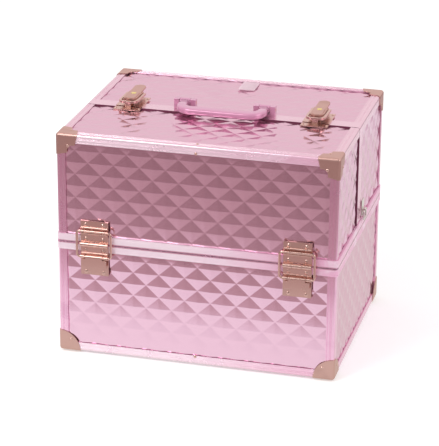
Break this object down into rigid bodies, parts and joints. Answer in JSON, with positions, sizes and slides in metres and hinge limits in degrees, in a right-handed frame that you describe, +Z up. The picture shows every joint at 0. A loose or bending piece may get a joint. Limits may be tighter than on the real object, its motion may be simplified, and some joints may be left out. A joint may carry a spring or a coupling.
{
  "type": "makeup train case",
  "caption": "Embossed makeup train case: a lower box with two upper halves that hinge apart and lift cantilever trays, draw latches and a folding handle.",
  "frame": {"origin": "middle of the footprint, on the surface that the feet stand on", "axes": "+X to the user's right, +Y to the rear, +Z up"},
  "size_m": [0.3726, 0.3006, 0.3088],
  "materials": {
    "embossed_pink_sheet": "satin pink pressed sheet",
    "plain_pink_sheet": "satin",
    "pink_anodised_strip": "bright pink anodised",
    "rose_gold_plate": "polished rose gold plate",
    "nickel_plate": "satin nickel plate",
    "handle_plastic": "gloss mauve pink",
    "lining_sheet": "matt black",
    "tray_plastic": "matt black",
    "foot_rubber": "matt",
    "clear_plate": "clear gloss"
  },
  "bodies": {
    "base": {"base_front_panel": "embossed_pink_sheet", "base_rear_panel": "embossed_pink_sheet", "base_left_panel": "embossed_pink_sheet", "base_right_panel": "embossed_pink_sheet", "base_floor_panel": "plain_pink_sheet", "base_edge_strips": "pink_anodised_strip", "base_rim": "pink_anodised_strip", "base_corner_caps": "rose_gold_plate", "base_rivets": "rose_gold_plate", "feet": "foot_rubber", "base_lining": "lining_sheet", "front_latch_base_plates": "rose_gold_plate", "hinge_pins": "rose_gold_plate", "rear_hinge_base_leaves": "rose_gold_plate", "tray_arm_brackets": "rose_gold_plate"},
    "front_lid": {"front_lid_front_panel": "embossed_pink_sheet", "front_lid_top_panel": "embossed_pink_sheet", "front_lid_left_panel": "embossed_pink_sheet", "front_lid_right_panel": "embossed_pink_sheet", "front_lid_edge_strips": "pink_anodised_strip", "front_lid_rim": "pink_anodised_strip", "front_lid_corner_caps": "rose_gold_plate", "front_lid_rivets": "rose_gold_plate", "front_lid_lining": "lining_sheet", "front_latch_lid_plates": "rose_gold_plate", "top_latch_strikes": "rose_gold_plate"},
    "rear_lid": {"rear_lid_rear_panel": "embossed_pink_sheet", "rear_lid_top_panel": "embossed_pink_sheet", "rear_lid_left_panel": "embossed_pink_sheet", "rear_lid_right_panel": "embossed_pink_sheet", "rear_lid_edge_strips": "pink_anodised_strip", "rear_lid_rim": "pink_anodised_strip", "rear_lid_corner_caps": "rose_gold_plate", "rear_lid_rivets": "rose_gold_plate", "rear_lid_lining": "lining_sheet", "rear_hinge_lid_leaves": "rose_gold_plate", "top_latch_bases": "rose_gold_plate", "handle_brackets": "handle_plastic", "handle_pins": "rose_gold_plate", "strap_lugs": "nickel_plate", "label_plate": "clear_plate"},
    "front_latch_lever_left": {"front_latch_lever_left": "rose_gold_plate"},
    "front_latch_lever_right": {"front_latch_lever_right": "rose_gold_plate"},
    "front_latch_ring_left": {"front_latch_ring_left": "rose_gold_plate"},
    "front_latch_ring_right": {"front_latch_ring_right": "rose_gold_plate"},
    "handle": {"handle": "handle_plastic"},
    "top_latch_lever_left": {"top_latch_lever_left": "rose_gold_plate"},
    "top_latch_lever_right": {"top_latch_lever_right": "rose_gold_plate"},
    "top_latch_ring_left": {"top_latch_ring_left": "rose_gold_plate"},
    "top_latch_ring_right": {"top_latch_ring_right": "rose_gold_plate"},
    "strap_ring_left": {"strap_ring_left": "nickel_plate"},
    "strap_ring_right": {"strap_ring_right": "nickel_plate"},
    "rear_lead_arms": {"rear_lead_arms": "rose_gold_plate"},
    "rear_trail_arms": {"rear_trail_arms": "rose_gold_plate"},
    "front_lead_arms": {"front_lead_arms": "rose_gold_plate"},
    "front_trail_arms": {"front_trail_arms": "rose_gold_plate"},
    "rear_lower_tray": {"rear_lower_tray": "tray_plastic"},
    "rear_upper_tray": {"rear_upper_tray": "tray_plastic"},
    "front_lower_tray": {"front_lower_tray": "tray_plastic"},
    "front_upper_tray": {"front_upper_tray": "tray_plastic"}
  },
  "joints": [
    {"name": "rear_lid_hinge", "type": "hinge", "parent": "base", "child": "rear_lid", "pos_m": [0, 0.1471, 0.1534], "axis": [-1, 0, 0], "range_deg": [0, 96]},
    {"name": "front_lid_hinge", "type": "hinge", "parent": "base", "child": "front_lid", "pos_m": [0, -0.1471, 0.1534], "axis": [1, 0, 0], "range_deg": [0, 96]},
    {"name": "front_latch_ring_left_swing", "type": "hinge", "parent": "base", "child": "front_latch_ring_left", "pos_m": [-0.131, -0.14798, 0.1369], "axis": [1, 0, 0], "range_deg": [0, 68]},
    {"name": "front_latch_lever_left_lift", "type": "hinge", "parent": "base", "child": "front_latch_lever_left", "pos_m": [-0.131, -0.14798, 0.1369], "axis": [-1, 0, 0], "range_deg": [0, 85]},
    {"name": "top_latch_lever_left_lift", "type": "hinge", "parent": "rear_lid", "child": "top_latch_lever_left", "pos_m": [-0.123, -0.013, 0.3022], "axis": [1, 0, 0], "range_deg": [0, 65]},
    {"name": "top_latch_ring_left_swing", "type": "hinge", "parent": "top_latch_lever_left", "child": "top_latch_ring_left", "pos_m": [-0.123, 0.015, 0.3042], "axis": [-1, 0, 0], "range_deg": [0, 44.85]},
    {"name": "strap_ring_left_swing", "type": "hinge", "parent": "rear_lid", "child": "strap_ring_left", "pos_m": [-0.184, 0.013, 0.1754], "axis": [0, 1, 0], "range_deg": [0, 150]},
    {"name": "front_latch_ring_right_swing", "type": "hinge", "parent": "base", "child": "front_latch_ring_right", "pos_m": [0.131, -0.14798, 0.1369], "axis": [1, 0, 0], "range_deg": [0, 68]},
    {"name": "front_latch_lever_right_lift", "type": "hinge", "parent": "base", "child": "front_latch_lever_right", "pos_m": [0.131, -0.14798, 0.1369], "axis": [-1, 0, 0], "range_deg": [0, 85]},
    {"name": "top_latch_lever_right_lift", "type": "hinge", "parent": "rear_lid", "child": "top_latch_lever_right", "pos_m": [0.123, -0.013, 0.3022], "axis": [1, 0, 0], "range_deg": [0, 65]},
    {"name": "top_latch_ring_right_swing", "type": "hinge", "parent": "top_latch_lever_right", "child": "top_latch_ring_right", "pos_m": [0.123, 0.015, 0.3042], "axis": [-1, 0, 0], "range_deg": [0, 44.85]},
    {"name": "strap_ring_right_swing", "type": "hinge", "parent": "rear_lid", "child": "strap_ring_right", "pos_m": [0.184, 0.013, 0.1754], "axis": [0, -1, 0], "range_deg": [0, 150]},
    {"name": "handle_swing", "type": "hinge", "parent": "rear_lid", "child": "handle", "pos_m": [0, 0.001, 0.3037], "axis": [-1, 0, 0], "range_deg": [0, 180]},
    {"name": "rear_lead_arms_swing", "type": "hinge", "parent": "base", "child": "rear_lead_arms", "pos_m": [0, 0.108, 0.137], "axis": [-1, 0, 0], "range_deg": [0, 60]},
    {"name": "rear_trail_arms_swing", "type": "hinge", "parent": "base", "child": "rear_trail_arms", "pos_m": [0, 0.072, 0.137], "axis": [-1, 0, 0], "range_deg": [0, 60]},
    {"name": "rear_lower_tray_level", "type": "hinge", "parent": "rear_lead_arms", "child": "rear_lower_tray", "pos_m": [0, 0.08748, 0.19338], "axis": [1, 0, 0], "range_deg": [0, 60]},
    {"name": "rear_upper_tray_level", "type": "hinge", "parent": "rear_lead_arms", "child": "rear_upper_tray", "pos_m": [0, 0.06627, 0.25164], "axis": [1, 0, 0], "range_deg": [0, 60]},
    {"name": "front_lead_arms_swing", "type": "hinge", "parent": "base", "child": "front_lead_arms", "pos_m": [0, -0.108, 0.137], "axis": [1, 0, 0], "range_deg": [0, 60]},
    {"name": "front_trail_arms_swing", "type": "hinge", "parent": "base", "child": "front_trail_arms", "pos_m": [0, -0.072, 0.137], "axis": [1, 0, 0], "range_deg": [0, 60]},
    {"name": "front_lower_tray_level", "type": "hinge", "parent": "front_lead_arms", "child": "front_lower_tray", "pos_m": [0, -0.08748, 0.19338], "axis": [-1, 0, 0], "range_deg": [0, 60]},
    {"name": "front_upper_tray_level", "type": "hinge", "parent": "front_lead_arms", "child": "front_upper_tray", "pos_m": [0, -0.06627, 0.25164], "axis": [-1, 0, 0], "range_deg": [0, 60]}
  ],
  "couplings": [
    {"joint": "front_lid_hinge", "follows": "rear_lid_hinge", "ratio": 1},
    {"joint": "front_latch_ring_left_swing", "follows": "rear_lid_hinge", "ratio": 0.7},
    {"joint": "top_latch_ring_left_swing", "follows": "top_latch_lever_left_lift", "ratio": 0.69},
    {"joint": "front_latch_ring_right_swing", "follows": "rear_lid_hinge", "ratio": 0.7},
    {"joint": "top_latch_ring_right_swing", "follows": "top_latch_lever_right_lift", "ratio": 0.69},
    {"joint": "rear_lead_arms_swing", "follows": "rear_lid_hinge", "ratio": 0.625},
    {"joint": "rear_trail_arms_swing", "follows": "rear_lid_hinge", "ratio": 0.625},
    {"joint": "rear_lower_tray_level", "follows": "rear_lid_hinge", "ratio": 0.625},
    {"joint": "rear_upper_tray_level", "follows": "rear_lid_hinge", "ratio": 0.625},
    {"joint": "front_lead_arms_swing", "follows": "rear_lid_hinge", "ratio": 0.625},
    {"joint": "front_trail_arms_swing", "follows": "rear_lid_hinge", "ratio": 0.625},
    {"joint": "front_lower_tray_level", "follows": "rear_lid_hinge", "ratio": 0.625},
    {"joint": "front_upper_tray_level", "follows": "rear_lid_hinge", "ratio": 0.625}
  ]
}
